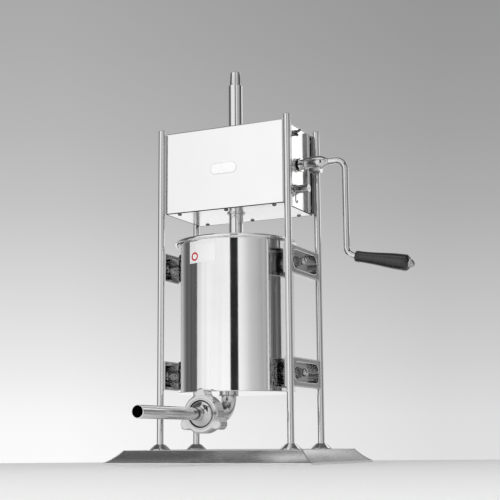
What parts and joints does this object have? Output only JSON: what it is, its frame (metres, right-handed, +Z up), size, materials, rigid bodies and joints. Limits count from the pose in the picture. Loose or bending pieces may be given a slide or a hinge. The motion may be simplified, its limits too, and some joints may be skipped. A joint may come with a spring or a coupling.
{
  "type": "sausage stuffer",
  "caption": "Vertical two-speed sausage stuffer: barrel on four columns, rack-driven piston, crank, outlet elbow and filling nozzle.",
  "frame": {"origin": "on the table under the middle of the base pan", "axes": "+Z up along the columns, +X towards the crank side, -Y towards the filling nozzle"},
  "size_m": [0.553, 0.527, 0.754],
  "materials": {
    "polished_steel": "mirror polished",
    "sheet_steel": "satin",
    "cast_steel": "satin cast",
    "gear_steel": "machined",
    "bronze": "turned",
    "black_plastic": "moulded",
    "silicone": "matte",
    "label_white": "printed film"
  },
  "bodies": {
    "frame": {"base_pan": "sheet_steel", "column_front_left": "polished_steel", "column_front_right": "polished_steel", "column_rear_left": "polished_steel", "column_rear_right": "polished_steel", "column_feet": "sheet_steel", "column_nuts": "cast_steel", "head_cover": "polished_steel", "head_bottom_plate": "sheet_steel", "head_side_plate_left": "polished_steel", "head_side_plate_right": "polished_steel", "head_strips": "sheet_steel", "head_screws": "cast_steel", "inner_bearing_plate": "sheet_steel", "main_shaft_bushes": "bronze", "drive_shaft_bushes": "bronze", "rod_guide": "bronze", "rod_guide_clip": "cast_steel", "rod_top_bush": "bronze", "name_plate": "sheet_steel", "barrel": "polished_steel", "barrel_label": "label_white", "bracket_left_lower": "sheet_steel", "bracket_left_upper": "sheet_steel", "bracket_right_lower": "sheet_steel", "bracket_right_upper": "sheet_steel", "barrel_studs": "cast_steel", "barrel_floor": "cast_steel", "stud_nuts": "cast_steel", "stud_domes": "cast_steel", "outlet_elbow": "cast_steel", "outlet_gasket": "silicone", "nozzle": "polished_steel"},
    "piston": {"piston_plate": "sheet_steel", "piston_seal": "silicone", "piston_cover": "sheet_steel", "piston_hub": "sheet_steel", "piston_screws": "cast_steel", "piston_bolt": "cast_steel", "rack_rod": "polished_steel", "valve_seat": "bronze"},
    "valve": {"valve_stem": "cast_steel"},
    "main_drive": {"main_shaft": "gear_steel", "shaft_collar": "polished_steel", "rack_pinion": "gear_steel", "main_gear": "gear_steel", "main_shaft_circlip": "gear_steel", "crank_socket": "cast_steel", "crank_arm": "polished_steel", "grip_spindle": "polished_steel", "grip_nut": "cast_steel"},
    "clamp": {"clamp_screw": "cast_steel"},
    "grip": {"grip": "black_plastic"},
    "low_drive": {"drive_shaft": "gear_steel", "drive_gear": "gear_steel", "drive_collar": "cast_steel", "drive_clip": "cast_steel", "drive_shaft_circlip": "gear_steel"},
    "nut": {"ring_nut": "cast_steel"},
    "wing": {"cover_wing_screw": "cast_steel"}
  },
  "joints": [
    {"name": "piston_slide", "type": "slide", "parent": "frame", "child": "piston", "axis": [0, 0, 1], "range_m": [-0.11, 0.168]},
    {"name": "valve_slide", "type": "slide", "parent": "piston", "child": "valve", "axis": [0, 0, 1], "range_m": [0, 0.003]},
    {"name": "main_shaft_spin", "type": "hinge", "parent": "frame", "child": "main_drive", "pos_m": [0, 0.005, 0.559], "axis": [1, 0, 0], "range_deg": [-820, 540]},
    {"name": "drive_shaft_spin", "type": "hinge", "parent": "frame", "child": "low_drive", "pos_m": [0, -0.02387, 0.5047], "axis": [1, 0, 0], "range_deg": [-1900, 2900]},
    {"name": "grip_spin", "type": "hinge", "parent": "main_drive", "child": "grip", "pos_m": [0.23514, 0.005, 0.37441], "axis": [0.9799, 0, -0.1994], "continuous": true},
    {"name": "clamp_screw_turn", "type": "hinge", "parent": "main_drive", "child": "clamp", "pos_m": [0.1585, 0.005, 0.544], "axis": [0, 0, 1], "range_deg": [-360, 0]},
    {"name": "ring_nut_turn", "type": "hinge", "parent": "frame", "child": "nut", "pos_m": [0, -0.148, 0.088], "axis": [0, 1, 0], "range_deg": [-360, 0]},
    {"name": "wing_screw_turn", "type": "hinge", "parent": "frame", "child": "wing", "pos_m": [0.123, -0.018, 0.616], "axis": [1, 0, 0], "range_deg": [0, 360]}
  ],
  "couplings": [
    {"joint": "main_shaft_spin", "follows": "piston_slide", "rad_per_m": -83.333},
    {"joint": "drive_shaft_spin", "follows": "piston_slide", "rad_per_m": 296.3}
  ]
}
